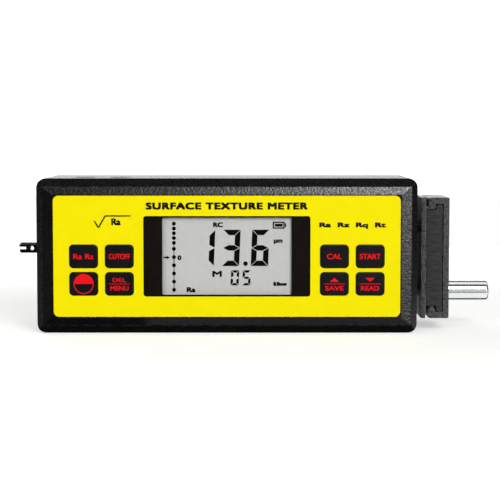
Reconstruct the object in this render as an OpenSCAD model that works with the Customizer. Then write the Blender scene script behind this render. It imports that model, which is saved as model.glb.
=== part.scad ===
// Portable surface roughness tester: a hand-held case with a keypad and a display, and on its
// right end a motor-driven traverse that draws a skidded stylus pickup over the workpiece.
// Millimetres. The case stands on Z = 0, centred on X and Y. The panel faces -Y, the pickup
// points to +X, and its stylus faces +Y, towards the back of the case.

/* [Case] */
// Length of the case
case_l = 140; // [138:1:160]
// Height of the case as it stands
case_h = 57; // [56:1:64]
// Depth of the case without its feet
case_d = 47; // [46:1:54]
// Thickness of the moulded walls
wall = 2.4; // [2:0.1:2.8]
// Radius of the four long corners
corner_r = 3.6; // [3.2:0.1:5]
// Radius of the edges round the back
back_r = 3; // [1:0.5:4]
// Depth of the front shell, from its front edge to the parting line
front_d = 16; // [15:0.5:18]
// Height of the tongue that seats the front shell in the rear one
tongue_h = 1.6; // [1:0.2:2.4]
// Gap round the tongue
seam_gap = 0.1; // [0.05:0.05:0.2]
// Width of the outer chamfer at the ends of the front
edge_end = 2.1; // [1.2:0.1:2.8]
// Width of the outer chamfer along the top and bottom of the front
edge_long = 3; // [1.8:0.1:3.6]
// Depth of the outer chamfer
edge_drop = 2.2; // [1:0.1:3]
// Fall of the sloped bezel from the panel to the chamfer
bezel_drop = 0.9; // [0.3:0.1:1.4]

/* [Panel] */
// Border between the overlay and each end of the case
border_end = 6.4; // [5:0.1:8]
// Border between the overlay and the top and bottom of the case
border_long = 6.25; // [5:0.05:8]
// Corner radius of the overlay
panel_r = 2; // [0.5:0.1:3]
// Thickness of the overlay
overlay_t = 0.5; // [0.3:0.1:0.8]
// Depth of the overlay's face below the bezel
panel_sink = 0.3; // [0.1:0.1:0.6]
// Gap round the overlay
panel_gap = 0.4; // [0.1:0.1:0.6]
// Thickness of the front wall behind the overlay
front_wall = 2; // [1.8:0.1:2.6]

/* [Display] */
// Width of the display window
window_w = 61; // [56:1:64]
// Height of the display window
window_h = 29.4; // [28.8:0.2:32]
// Corner radius of the window
window_r = 0.9; // [0.4:0.1:2]
// Thickness of the window
window_t = 1.1; // [0.8:0.1:1.2]
// Thickness of the black mask behind the window
mask_t = 0.1; // [0.05:0.05:0.2]
// Gap round the window
window_gap = 0.1; // [0.05:0.05:0.2]
// Width of the mask at each end of the clear view
mask_end = 6.8; // [5:0.1:8]
// Width of the mask above and below the clear view
mask_edge = 0.5; // [0.3:0.1:2]
// Margin of the opening in the wall behind the view
view_margin = 0.2; // [0.1:0.1:0.4]
// Width of the display glass
lcd_w = 54.4; // [52:0.2:56]
// Height of the display glass
lcd_h = 33; // [31:0.5:36]
// Thickness of the display glass
lcd_t = 2.2; // [1.6:0.1:2.8]
// Thickness of the backlight
backlight_t = 3; // [2.6:0.2:4]
// Thickness of the display frame's rim and shelf
lcd_rim = 1.3; // [1:0.1:1.5]
// Gap round the display in its frame
lcd_gap = 0.1; // [0.05:0.05:0.2]

/* [Keys] */
// Width of a key
key_w = 10.4; // [8:0.2:11]
// Height of a key
key_h = 8.5; // [6:0.2:8.6]
// Corner radius of a key
key_r = 1.5; // [0.6:0.1:2.4]
// Distance from the middle of the case to the inner key columns
key_inner = 39.4; // [39:0.1:41]
// Distance between key columns
key_pitch_x = 13.1; // [12.6:0.1:14]
// Distance between key rows
key_pitch_z = 10.1; // [9.9:0.1:11]
// Height of a key above the overlay
key_proud = 0.25; // [0.1:0.05:0.8]
// Gap round a key
key_gap = 0.15; // [0.1:0.05:0.25]
// Travel of a key
key_travel = 0.5; // [0.3:0.1:0.8]
// Width of the lip that holds a key behind the wall
key_lip = 0.6; // [0.4:0.1:0.65]
// Thickness of that lip
key_lip_t = 1; // [0.8:0.1:1.2]
// Diameter of a key's stem
stem_d = 3.4; // [2.5:0.1:4]
// Width of a key switch
switch_w = 6; // [5.5:0.5:7]
// Height of a key switch
switch_h = 3.6; // [3.2:0.1:4]

/* [Board and battery] */
// Thickness of the main board
board_t = 1.6; // [1:0.2:2]
// Gap between the board and the walls and bosses round it
board_gap = 1.3; // [0.6:0.1:2.5]
// Diameter of the posts that carry the board
post_d = 5; // [4.4:0.2:5.6]
// Thread diameter of the board screws
board_screw_d = 2.5; // [2:0.5:3]
// Diameter of a battery cell
cell_d = 16; // [14:0.5:17]
// Length of a battery cell
cell_l = 46; // [40:1:50]
// Depth of the ribs that hold the battery
rib_d = 12; // [6:1:14]
// Thickness of those ribs
rib_t = 1.6; // [1.2:0.2:2]

/* [Sockets and strap post] */
// Distance from the left end of the case to the first socket
socket_in = 17; // [16:0.5:20]
// Distance between the two sockets
socket_pitch = 13; // [11:0.5:14]
// Diameter of the socket holes in the top wall
socket_hole = 8; // [7:0.2:9]
// Length of the socket bodies
socket_l = 14; // [12:0.5:16]
// Diameter of the charging plug's bore
charge_bore = 5.6; // [5:0.1:6]
// Diameter of the data plug's bore
data_bore = 3.6; // [2.6:0.1:4]
// Diameter of the strap post
strap_d = 4; // [3:0.2:5]
// Length of the strap post outside the case
strap_out = 9.1; // [7:0.1:12]
// Height of the strap post above the base
strap_z = 30; // [24:0.5:34]
// Distance from the case to the strap hole
strap_hole_in = 4.3; // [3.5:0.1:5]
// Diameter of the strap hole
strap_hole_d = 1.6; // [1.2:0.1:2]
// Width of the screwdriver slot in the post's end
slot_w = 1; // [0.6:0.1:1.4]
// Depth of that slot
slot_d = 2.6; // [1:0.2:3]

/* [Fasteners and feet] */
// Thread diameter of the case, chassis and rail screws
screw_d = 3; // [2.5:0.5:3.5]
// Length of a case screw under its head
screw_l = 12; // [10:1:14]
// Clearance all round a piece that is pressed or screwed into another
seat_fit = 0.02; // [0.01:0.01:0.05]
// Distance of the case screws from the inside of the walls
boss_in = 3.3; // [3:0.1:3.4]
// Diameter of a rubber foot
foot_d = 9; // [6:0.5:12]
// Height of a foot behind the case
foot_h = 1; // [0.5:0.1:2]
// Depth of a foot's seat in the back wall
foot_seat = 0.8; // [0.4:0.1:1]
// Distance of the feet from the ends of the case
foot_in = 20; // [16:1:30]
// Distance of the feet from the top and bottom of the case
foot_rise = 12; // [9:1:14]

/* [Traverse drive] */
// Travel of the traverse
stroke = 17.5; // [8:0.5:18]
// Drop of the drive and the bracket below the middle of the case
drive_drop = 1.5; // [0:0.5:2]
// Height of the drive's axis above the chassis base
axis_h = 11.1; // [10.5:0.1:13]
// Diameter of the guide rods
rod_d = 5; // [4:0.5:6]
// Diameter of the lead screw
lead_d = 6; // [5:0.5:7]
// Diameter of the lead screw's journals and of the motor's shaft
journal_d = 4; // [3:0.5:4.5]
// Wall of the bushes, the bearings and the nut
bush_wall = 1.6; // [1.2:0.1:2.2]
// Running clearance all round the rods and the screw
run_fit = 0.04; // [0.02:0.01:0.08]
// Thickness of the chassis's uprights
upright_t = 5; // [4:0.5:6]
// Thickness of the chassis's base and of the motor plate
chassis_t = 2; // [1.5:0.1:2.5]
// Gap between the chassis and the walls of the case
chassis_gap = 2; // [1.6:0.1:2.5]
// Gap between the uprights and the rear shell's screw bosses
upright_gap = 0.9; // [0.5:0.1:1.5]
// Thickness of the yoke
yoke_t = 8; // [6:0.5:9]
// Clearance at each end of the yoke's travel
yoke_gap = 1.2; // [0.5:0.1:2]
// Length of the shaft coupling
coupling_l = 8; // [7:0.5:10]
// Gap between the gearbox and the guide rods
motor_gap = 0.5; // [0.3:0.1:1.5]
// Gap between the motor and the battery's rib
motor_end_gap = 4; // [1:0.5:8]
// Length of the gearbox
gearbox_l = 14; // [10:0.5:15]

/* [Bracket] */
// Gap between the case and the carriage plate
plate_gap = 2.4; // [2:0.1:4]
// Thickness of the carriage plate
plate_t = 1.7; // [1.2:0.1:3]
// Height of the bracket
bracket_h = 45.2; // [44:0.2:48]
// Distance of the bracket's front before the drive's axis
bracket_fore = 18; // [16:0.5:20]
// Depth of the rail and the carriage plate
rail_dep = 35; // [30:1:38]
// Depth of the height slide
slide_dep = 25; // [18:1:28]
// Gap between the carriage plate and the slide's hooks
hook_gap = 1; // [0.6:0.1:2]
// Thickness of the hooks
hook_t = 2.6; // [1.8:0.1:4]
// Length of the hooks from the outside of the slide
hook_l = 4.3; // [3.6:0.1:6]
// Thickness of the slide's top and bottom walls
slide_wall = 2.35; // [1.5:0.05:3]
// Thickness of the slide's web
web_t = 2.2; // [2:0.1:4]
// Thickness of the rail's head
head_t = 2.3; // [2:0.1:4]
// Running gap between the rail and the slide
rail_gap = 0.3; // [0.2:0.05:0.5]
// Rounding of the rail's and the slide's corners
bracket_r = 0.6; // [0.3:0.1:0.9]

/* [Pickup] */
// Outside diameter of the pickup tube
tube_d = 7.2; // [6:0.1:8]
// Bore of the pickup tube
tube_bore = 5.3; // [5.2:0.1:5.6]
// Length of the pickup outside the slide
pickup_out = 16.3; // [15:0.1:20]
// Distance of the pickup below the middle of the bracket
pickup_drop = 13.3; // [6:0.1:14]
// Rounding of the pickup's nose
nose_r = 1; // [0.3:0.1:1.5]
// Distance from the nose to the stylus
stylus_in = 4.6; // [4.4:0.1:6]
// Distance from the stylus back to its pivot
arm_l = 5.6; // [4:0.1:6]
// Diameter of the pivot pin
pivot_d = 0.8; // [0.6:0.1:1]
// Length of the skid
skid_l = 4; // [3.6:0.1:5]
// Width of the skid
skid_w = 2.2; // [2:0.1:3]
// Height of the skid outside the tube
skid_out = 0.5; // [0.2:0.1:1]
// Radius of the skid's runner
skid_r = 40; // [10:1:50]
// Height of the stylus tip above the skid
tip_out = 0.25; // [0.1:0.05:0.4]
// Diameter of the stylus
stylus_d = 0.8; // [0.5:0.1:1]

/* [Hidden] */
$fn = 64;

// Overshoot of a cut past the face it starts from
cut = 1;
// Sink of a boss or rib into the wall that carries it
root = 0.5;

// Planes from front to back
y_front = -case_d / 2;
y_back = case_d / 2;
y_part = y_front + front_d;
y_overlay = y_front + panel_sink;
y_floor = y_overlay + overlay_t;
y_in = y_floor + front_wall;
y_mask = y_overlay + window_t;
y_seat = y_mask + mask_t;
y_backlight = y_in + lcd_t;
y_shelf = y_backlight + backlight_t;
y_board = y_shelf + lcd_rim;
y_board_rear = y_board + board_t;
y_rear_in = y_back - wall;

// Inside of the case
z_mid = case_h / 2;
inner_l = case_l - 2 * wall;
inner_h = case_h - 2 * wall;
inner_r = corner_r - wall;
tongue_t = wall / 2 - seam_gap;
panel_l = case_l - 2 * border_end;
panel_h = case_h - 2 * border_long;
view_w = window_w - 2 * mask_end;
view_h = window_h - 2 * mask_edge;

// Case screws: the bosses sink into the walls, and each head seats behind the parting line
boss_x = inner_l / 2 - boss_in;
boss_z = inner_h / 2 - boss_in;
boss_sink = 0.1;
boss_d = 2 * (boss_in + boss_sink);
rear_boss_d = 2 * (boss_in + wall / 2 + boss_sink);
head_gap = 0.3;
y_head = y_part + 4;
screw_end_gap = 1;

// Board and display frame
board_l = 2 * (boss_x - boss_d / 2 - board_gap);
board_h = inner_h - 2 * board_gap;
frame_w = lcd_w + 2 * (lcd_gap + lcd_rim);
frame_h = lcd_h + 2 * (lcd_gap + lcd_rim);
board_fix_x = frame_w / 2 + post_d / 2 + 0.8;
board_fix_z = board_h / 2 - post_d / 2 - 1.5;
board_screw_bite = 4;
board_screw_l = board_t + board_screw_bite;
chip_t = 1.8;

// Keys
key_play = 0.2;
key_columns = [-key_inner - key_pitch_x, -key_inner, key_inner, key_inner + key_pitch_x];
key_rows = [z_mid, z_mid - key_pitch_z];
y_key = y_overlay - key_proud;
y_key_lip = y_in + key_play;
y_stem = y_key_lip + key_lip_t;
y_switch = y_board - switch_h;
stem_in = 0.5;
well_d = stem_d + 0.2;
well_dep = stem_in + key_travel + 0.4;

// Sockets
socket_x = [-case_l / 2 + socket_in, -case_l / 2 + socket_in + socket_pitch];
socket_dep = 2 * (y_part - y_board_rear);
socket_w = socket_hole + 1;
socket_gap = 0.15;
z_socket = case_h - wall - 0.2;
z_nose = case_h - 0.2;
charge_pin_d = 2;
charge_dep = 10;
pin_sink = 1.5;

// Battery: two cells stand side by side between ribs
battery_gap = 0.3;
battery_x = -boss_x + rear_boss_d / 2 + rib_t;
battery_y = y_rear_in - battery_gap - cell_d / 2;
battery_z = wall + battery_gap;

// Drive, laid out from the right wall inwards
x_in = inner_l / 2;
x_outer = x_in - chassis_gap - upright_t;
x_yoke = x_outer - stroke - yoke_t - yoke_gap;
x_inner = x_yoke - yoke_gap - upright_t;
shaft_gap = 0.8;
x_coupling = x_inner - shaft_gap - coupling_l;
x_motor_plate = x_coupling - shaft_gap - chassis_t;
x_gearbox = x_motor_plate - gearbox_l;
x_motor = battery_x + 2 * cell_d + battery_gap + rib_t + motor_end_gap;
x_rod = x_inner - stroke - root;
bush_d = rod_d + 2 * (run_fit + bush_wall);
bush_land = 0.7;
upright_h = 2 * (boss_z - rear_boss_d / 2 - drive_drop - upright_gap);
rod_pitch = upright_h - bush_d - 2 * bush_land;
drive_z = z_mid - drive_drop;
rod_z = [drive_z - rod_pitch / 2, drive_z + rod_pitch / 2];
motor_d = rod_pitch - rod_d - 2 * motor_gap;
motor_step = 0.25;
bearing_d = journal_d + 2 * (run_fit + bush_wall);
nut_d = lead_d + 2 * (run_fit + bush_wall);
seal_wall = 2;
seal_d = rod_d + 2 * seal_wall;
seal_lip = 1;
seal_gap = 0.15;
y_base = y_rear_in - chassis_gap - chassis_t;
drive_y = y_base - axis_h;
yoke_wall = 1.5;
yoke_w = bush_d + 2 * yoke_wall;
chassis_screw_bite = 1;
chassis_fix_x = [x_inner - post_d, x_outer - post_d];
chassis_fix_z = [drive_z - upright_h / 2 + post_d, drive_z + upright_h / 2 - post_d];
chassis_screw_l = chassis_t + chassis_gap + chassis_screw_bite;
sensor_t = 4;
sensor_w = 6;

// Bracket, laid out from the case outwards
x_plate = case_l / 2 + plate_gap;
x_neck = x_plate + plate_t;
x_hook = x_neck + hook_gap;
x_head = x_hook + hook_t + rail_gap;
x_web_in = x_head + head_t + rail_gap;
x_web = x_web_in + web_t;
y_bracket = drive_y - bracket_fore;
head_len = bracket_h - 2 * (slide_wall + rail_gap);
neck_len = bracket_h - 2 * (hook_l + rail_gap);
rail_screw_bite = 6;
rail_screw_l = x_head + head_t - x_plate + rail_screw_bite;
lock_d = screw_d;
lock_z = [drive_z, drive_z + rod_pitch / 2];

// Pickup
pickup_y = y_bracket + slide_dep / 2;
pickup_z = drive_z - pickup_drop;
x_nose = x_web + pickup_out;
bore_r = tube_bore / 2;
flange_d = tube_d + 2;
flange_t = 1;
x_stylus = x_nose - stylus_in;
x_pivot = x_stylus - arm_l;
x_skid = x_stylus - skid_l / 2;
plug_l = stylus_in - skid_l / 2 - 0.4;
plug_in = 0.9;
arm_w = 1.2;
arm_t = 1;
hub_d = 2;
coil_gap = 0.6;
coil_l = 2.8;
coil_back = 4.6;
x_coil = x_pivot - coil_back;
skid_hole = stylus_d + 0.9;
skid_y = tube_d / 2 + skid_out;
tip_y = skid_y + tip_out;

// Diameter and height of a pan head for a thread diameter
function head_d(d) = 1.87 * d;
function head_h(d) = 0.8 * d;

// Flat rounded rectangle about its centre
module rounded(w, h, r) {
    square([w - 2 * r, h], center = true);
    square([w, h - 2 * r], center = true);
    for (x = [-1, 1], z = [-1, 1]) {
        translate([x * (w / 2 - r), z * (h / 2 - r)]) circle(r);
    }
}

// Flat shape in X and Z, drawn out along Y
module along_y(y0, y1) {
    translate([0, y1, 0]) rotate([90, 0, 0]) linear_extrude(y1 - y0) children();
}

// Flat shape in Y and Z, drawn out along X
module along_x(x0, x1) {
    translate([x0, 0, 0]) rotate([90, 0, 90]) linear_extrude(x1 - x0) children();
}

// Round bar along X at a place in Y and Z
module bar_x(d, x0, x1, y, z) {
    translate([x0, y, z]) rotate([0, 90, 0]) cylinder(d = d, h = x1 - x0);
}

// Round bar along Y at a place in X and Z
module bar_y(d, y0, y1, x, z) {
    translate([x, y1, z]) rotate([90, 0, 0]) cylinder(d = d, h = y1 - y0);
}

// Rounded plate across the case, centred on the panel
module plate_y(w, h, r, y0, y1) {
    along_y(y0, y1) translate([0, z_mid]) rounded(w, h, r);
}

// Places of the four case screws, seen from the front
module at_bosses() {
    for (x = [-boss_x, boss_x], z = [z_mid - boss_z, z_mid + boss_z]) {
        translate([x, 0, z]) children();
    }
}

// Places of the four board screws
module at_board_posts() {
    for (x = [-board_fix_x, board_fix_x], z = [z_mid - board_fix_z, z_mid + board_fix_z]) {
        translate([x, 0, z]) children();
    }
}

// Places of the four chassis screws
module at_chassis_posts() {
    for (x = chassis_fix_x, z = chassis_fix_z) translate([x, 0, z]) children();
}

// Places of the eight keys
module at_keys() {
    for (x = key_columns, z = key_rows) translate([x, 0, z]) children();
}

// Places of the feet
module at_feet() {
    for (x = [-1, 1], z = [foot_rise, case_h - foot_rise]) {
        translate([x * (case_l / 2 - foot_in), 0, z]) children();
    }
}

// Front edge seen in section: sloped bezel, then the outer chamfer, which runs past the side
function front_section(span, edge, border) =
    let (y_edge = y_front + bezel_drop, y_side = y_edge + edge_drop * (1 + cut / edge))
    [
        [border, y_front], [edge, y_edge], [-cut, y_side], [-cut, y_part + cut],
        [span + cut, y_part + cut], [span + cut, y_side], [span - edge, y_edge],
        [span - border, y_front]
    ];

// Back edge seen in section: square in front, rounded behind
module back_section(span) {
    depth = y_back - y_part;
    translate([0, y_part - cut]) {
        translate([-span / 2, 0]) square([span, depth + cut - back_r]);
        translate([-span / 2 + back_r, 0]) square([span - 2 * back_r, depth + cut]);
        for (side = [-1, 1]) {
            translate([side * (span / 2 - back_r), depth + cut - back_r]) circle(back_r);
        }
    }
}

// Outside of the front shell
module front_form() {
    long_edge = front_section(case_h, edge_long, border_long - panel_gap);
    end_edge = front_section(case_l, edge_end, border_end - panel_gap);
    intersection() {
        plate_y(case_l, case_h, corner_r, y_front - cut, y_part);
        along_x(-case_l / 2 - cut, case_l / 2 + cut) polygon([for (p = long_edge) [p[1], p[0]]]);
        translate([-case_l / 2, 0, -cut]) linear_extrude(case_h + 2 * cut) polygon(end_edge);
    }
}

// Outside of the rear shell
module rear_form() {
    intersection() {
        plate_y(case_l, case_h, corner_r, y_part, y_back + cut);
        along_x(-case_l / 2 - cut, case_l / 2 + cut) {
            translate([0, z_mid]) mirror([1, 0]) rotate(90) back_section(case_h);
        }
        translate([0, 0, -cut]) linear_extrude(case_h + 2 * cut) back_section(case_l);
    }
}

// Round openings through the top wall, half in each shell
module socket_holes() {
    for (x = socket_x) {
        translate([x, y_part, case_h - wall - cut]) cylinder(d = socket_hole, h = wall + 2 * cut);
    }
}

module front_shell() {
    color("#1b1b1d") difference() {
        union() {
            difference() {
                union() {
                    front_form();
                    plate_y(inner_l + 2 * tongue_t, inner_h + 2 * tongue_t, inner_r + tongue_t,
                        y_part - root, y_part + tongue_h);
                }
                plate_y(inner_l, inner_h, inner_r, y_in, y_part + tongue_h + cut);
            }
            at_bosses() bar_y(boss_d, y_in - root, y_part, 0, 0);
            at_board_posts() bar_y(post_d, y_in - root, y_board, 0, 0);
        }
        plate_y(panel_l + 2 * panel_gap, panel_h + 2 * panel_gap, panel_r + panel_gap,
            y_front - cut, y_floor);
        plate_y(window_w + 2 * window_gap, window_h + 2 * window_gap, window_r + window_gap,
            y_front, y_seat);
        plate_y(view_w + 2 * view_margin, view_h + 2 * view_margin, window_r, y_front, y_in + root);
        at_keys() along_y(y_front, y_in + root) {
            rounded(key_w + 2 * key_gap, key_h + 2 * key_gap, key_r + key_gap);
        }
        at_bosses() {
            bar_y(screw_d + 2 * seat_fit, y_head - screw_l - screw_end_gap, y_part + cut, 0, 0);
            bar_y(rear_boss_d + 2 * seam_gap, y_part, y_part + tongue_h + cut, 0, 0);
        }
        at_board_posts() {
            bar_y(board_screw_d + 2 * seat_fit, y_in + root, y_board + cut, 0, 0);
        }
        socket_holes();
    }
}

module rear_shell() {
    color("#1b1b1d") difference() {
        union() {
            difference() {
                rear_form();
                plate_y(inner_l, inner_h, inner_r, y_part - cut, y_rear_in);
                plate_y(inner_l + 2 * (tongue_t + seam_gap), inner_h + 2 * (tongue_t + seam_gap),
                    inner_r + tongue_t + seam_gap, y_part - cut, y_part + tongue_h + seam_gap);
            }
            at_bosses() bar_y(rear_boss_d, y_part, y_rear_in + root, 0, 0);
            at_chassis_posts() bar_y(post_d + 2, y_rear_in - chassis_gap, y_rear_in + root, 0, 0);
            for (x = [battery_x - rib_t - battery_gap, battery_x + 2 * cell_d + battery_gap]) {
                translate([x, y_rear_in - rib_d, wall - root]) {
                    cube([rib_t, rib_d + root, inner_h - boss_in + root]);
                }
            }
        }
        at_bosses() {
            bar_y(screw_d + 2 * head_gap, y_part - cut, y_back, 0, 0);
            bar_y(head_d(screw_d) + 2 * head_gap, y_head, y_back + cut, 0, 0);
        }
        at_chassis_posts() {
            bar_y(screw_d + 2 * seat_fit, y_rear_in - chassis_gap - cut, y_rear_in + cut, 0, 0);
        }
        at_feet() bar_y(foot_d + 2 * seat_fit, y_back - foot_seat, y_back + cut, 0, 0);
        for (z = rod_z) {
            bar_x(seal_d + 2 * seat_fit, x_in - cut, case_l / 2 + cut, drive_y, z);
        }
        bar_x(strap_d + 2 * seat_fit, -case_l / 2 - cut, -x_in + cut, 0, strap_z);
        socket_holes();
    }
}

// Pan-head screw along Y: the head's seat is at y, and the shank runs to the front or the back
module pan_screw(d, l, y, way) {
    shank = way < 0 ? [y - l, y] : [y, y + l];
    head = way < 0 ? [y, y + head_h(d)] : [y - head_h(d), y];
    recess_y = way < 0 ? head[1] : head[0];
    bar_y(d, shank[0], shank[1], 0, 0);
    difference() {
        bar_y(head_d(d), head[0], head[1], 0, 0);
        for (turn = [0, 90]) translate([0, recess_y, 0]) rotate([0, turn, 0]) {
            cube([d, head_h(d), d / 5], center = true);
        }
    }
}

module case_screws() {
    color("#8f9194") at_bosses() pan_screw(screw_d, screw_l, y_head, -1);
}

module rubber_feet() {
    color("#2a2a2b") at_feet() {
        bar_y(foot_d, y_back - foot_seat, y_back + foot_h / 2, 0, 0);
        translate([0, y_back + foot_h / 2, 0]) rotate([-90, 0, 0]) {
            cylinder(d1 = foot_d, d2 = foot_d - foot_h, h = foot_h / 2);
        }
    }
}

module panel_overlay() {
    color("#f5e400") difference() {
        plate_y(panel_l, panel_h, panel_r, y_overlay, y_floor);
        plate_y(window_w + 2 * window_gap, window_h + 2 * window_gap, window_r + window_gap,
            y_overlay - cut, y_floor + cut);
        at_keys() along_y(y_overlay - cut, y_floor + cut) {
            rounded(key_w + 2 * key_gap, key_h + 2 * key_gap, key_r + key_gap);
        }
    }
}

module display_window() {
    color("#c8d0d2", 0.4) plate_y(window_w, window_h, window_r, y_overlay, y_mask);
}

module window_mask() {
    color("#141316") difference() {
        plate_y(window_w, window_h, window_r, y_mask, y_seat);
        plate_y(view_w, view_h, window_r / 3, y_mask - cut, y_seat + cut);
    }
}

module lcd_glass() {
    color("#c4c6c4") plate_y(lcd_w, lcd_h, window_r, y_in, y_backlight);
}

module lcd_backlight() {
    color("#e8e8e4") plate_y(lcd_w, lcd_h, window_r, y_backlight, y_shelf);
}

module lcd_frame() {
    color("#d9d8d2") difference() {
        plate_y(frame_w, frame_h, window_r + lcd_rim, y_in + key_play, y_board);
        plate_y(lcd_w + 2 * lcd_gap, lcd_h + 2 * lcd_gap, window_r, y_in - cut, y_shelf);
        plate_y(view_w, view_h - 2 * lcd_rim, window_r, y_shelf - cut, y_board + cut);
    }
}

// Key cap with the lip that holds it behind the wall and the stem that works its switch
module key_cap(column, row) {
    translate([key_columns[column], 0, key_rows[row]]) {
        along_y(y_key, y_key_lip) rounded(key_w, key_h, key_r);
        along_y(y_key_lip, y_stem) rounded(key_w + 2 * key_lip, key_h + 2 * key_lip, key_r);
        bar_y(stem_d, y_stem, y_switch + stem_in, 0, 0);
    }
}

module key_parameter() {
    color("#19191b") key_cap(0, 0);
}

module key_cutoff() {
    color("#19191b") key_cap(1, 0);
}

module key_power() {
    color("#19191b") key_cap(0, 1);
}

module key_menu() {
    color("#19191b") key_cap(1, 1);
}

module key_calibrate() {
    color("#19191b") key_cap(2, 0);
}

module key_start() {
    color("#19191b") key_cap(3, 0);
}

module key_up() {
    color("#19191b") key_cap(2, 1);
}

module key_down() {
    color("#19191b") key_cap(3, 1);
}

// Switch bodies on the board, each with a well for its key's stem
module key_switches() {
    color("#3c3c3e") at_keys() difference() {
        along_y(y_switch, y_board) rounded(switch_w, switch_w, key_r / 3);
        bar_y(well_d, y_switch - cut, y_switch + well_dep, 0, 0);
    }
}

module main_board() {
    color("#1f6b3a") difference() {
        plate_y(board_l, board_h, panel_r, y_board, y_board_rear);
        at_board_posts() bar_y(board_screw_d + head_gap, y_board - cut, y_board_rear + cut, 0, 0);
    }
}

module board_screws() {
    color("#b8b9bb") at_board_posts() {
        pan_screw(board_screw_d, board_screw_l, y_board_rear, -1);
    }
}

// Processor, amplifier and memory on the back of the board: each chip's place from the middle and
// its sides, as shares of the board's height
module board_chips() {
    chips = [
        [0, 0.12, 0.28, 0.28], [-0.32, -0.16, 0.16, 0.12],
        [0.36, -0.18, 0.2, 0.16], [0.4, 0.2, 0.16, 0.1]
    ];
    color("#232325") along_y(y_board_rear, y_board_rear + chip_t) translate([0, z_mid]) {
        for (chip = board_h * chips) translate([chip[0], chip[1]]) {
            square([chip[2], chip[3]], center = true);
        }
    }
}

// Socket body on the board, with the round nose that fills its hole in the top wall
module socket_body(i) {
    translate([socket_x[i] - socket_w / 2, y_board_rear, z_socket - socket_l]) {
        cube([socket_w, socket_dep, socket_l]);
    }
    translate([socket_x[i], y_part, z_socket - root]) {
        cylinder(d = socket_hole - 2 * socket_gap, h = z_nose - z_socket + root);
    }
}

module charge_socket() {
    color("#222224") {
        difference() {
            socket_body(0);
            translate([socket_x[0], y_part, z_nose - charge_dep]) {
                cylinder(d = charge_bore, h = charge_dep + cut);
            }
        }
        translate([socket_x[0], y_part, z_nose - charge_dep - root]) {
            cylinder(d = charge_pin_d, h = charge_dep + root - pin_sink);
        }
    }
}

module data_socket() {
    color("#222224") difference() {
        socket_body(1);
        translate([socket_x[1], y_part, z_nose - socket_l]) {
            cylinder(d = data_bore, h = socket_l + cut);
        }
    }
}

// Two cells in one shrink sleeve
module battery_pack() {
    color("#2b5fa8") translate([battery_x, battery_y, battery_z]) linear_extrude(cell_l) {
        for (i = [0, 1]) translate([(i + 0.5) * cell_d, 0]) circle(d = cell_d);
        translate([cell_d / 2, -cell_d / 2]) square(cell_d);
    }
}

// Post screwed into the left wall: cross-drilled for a strap, slotted for a screwdriver
module strap_post() {
    x_tip = -case_l / 2 - strap_out;
    chamfer = slot_w / 2;
    color("#151517") difference() {
        union() {
            bar_x(strap_d, x_tip + chamfer, -x_in + 3, 0, strap_z);
            translate([x_tip, 0, strap_z]) rotate([0, 90, 0]) {
                cylinder(d1 = strap_d - 2 * chamfer, d2 = strap_d, h = chamfer);
            }
        }
        bar_y(strap_hole_d, -strap_d, strap_d, -case_l / 2 - strap_hole_in, strap_z);
        translate([x_tip - cut, -strap_d, strap_z - slot_w / 2]) {
            cube([slot_d + cut, 2 * strap_d, slot_w]);
        }
    }
}

module strap_nut() {
    color("#8f9194") translate([-x_in, 0, strap_z]) rotate([0, 90, 0]) difference() {
        cylinder(d = 2 * strap_d, h = 2.4, $fn = 6);
        translate([0, 0, -cut]) cylinder(d = strap_d + 2 * seat_fit, h = 2.4 + 2 * cut);
    }
}

// One upright of the chassis, a rounded plate from the base to in front of the drive
module upright(x0, t, h) {
    y0 = drive_y - bearing_d;
    along_x(x0, x0 + t) translate([(y0 + y_base + root) / 2, drive_z]) {
        rounded(y_base + root - y0, h, bracket_r);
    }
}

module drive_chassis() {
    color("#a9abae") difference() {
        union() {
            along_y(y_base, y_base + chassis_t) {
                translate([(x_motor_plate + x_outer + upright_t) / 2, drive_z]) {
                    rounded(x_outer + upright_t - x_motor_plate, upright_h, bracket_r);
                }
            }
            upright(x_motor_plate, chassis_t, motor_d);
            upright(x_inner, upright_t, upright_h);
            upright(x_outer, upright_t, upright_h);
        }
        bar_x(bearing_d + 2 * seat_fit, x_motor_plate - cut, x_in, drive_y, drive_z);
        for (z = rod_z) bar_x(bush_d + 2 * seat_fit, x_inner - cut, x_in, drive_y, z);
        at_chassis_posts() bar_y(screw_d + head_gap, y_base - cut, y_rear_in, 0, 0);
    }
}

module chassis_screws() {
    color("#b8b9bb") at_chassis_posts() pan_screw(screw_d, chassis_screw_l, y_base, 1);
}

module drive_motor() {
    color("#b4b6b8") bar_x(motor_d - 2 * motor_step, x_motor, x_gearbox, drive_y, drive_z);
}

// Gearbox with the spigot that centres it in the motor plate
module motor_gearbox() {
    color("#8b8d90") difference() {
        union() {
            bar_x(motor_d, x_gearbox, x_motor_plate, drive_y, drive_z);
            bar_x(bearing_d, x_motor_plate - root, x_motor_plate + chassis_t, drive_y, drive_z);
        }
        bar_x(journal_d + 2 * run_fit, x_motor_plate - coupling_l / 2, x_coupling, drive_y, drive_z);
    }
}

module motor_shaft() {
    color("#c2c4c6") {
        bar_x(journal_d, x_motor_plate - coupling_l / 2 + shaft_gap, x_coupling + coupling_l / 2,
            drive_y, drive_z);
    }
}

module shaft_coupling() {
    color("#c79a3c") difference() {
        bar_x(bearing_d, x_coupling, x_coupling + coupling_l, drive_y, drive_z);
        bar_x(journal_d + 2 * seat_fit, x_coupling - cut, x_coupling + coupling_l + cut,
            drive_y, drive_z);
    }
}

// Screw with a journal at each end; the inner one reaches into the coupling
module lead_screw() {
    color("#b9bbbd") {
        bar_x(journal_d, x_coupling + coupling_l / 2, x_outer + upright_t, drive_y, drive_z);
        bar_x(lead_d, x_inner + upright_t + root, x_outer - root, drive_y, drive_z);
    }
}

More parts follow.
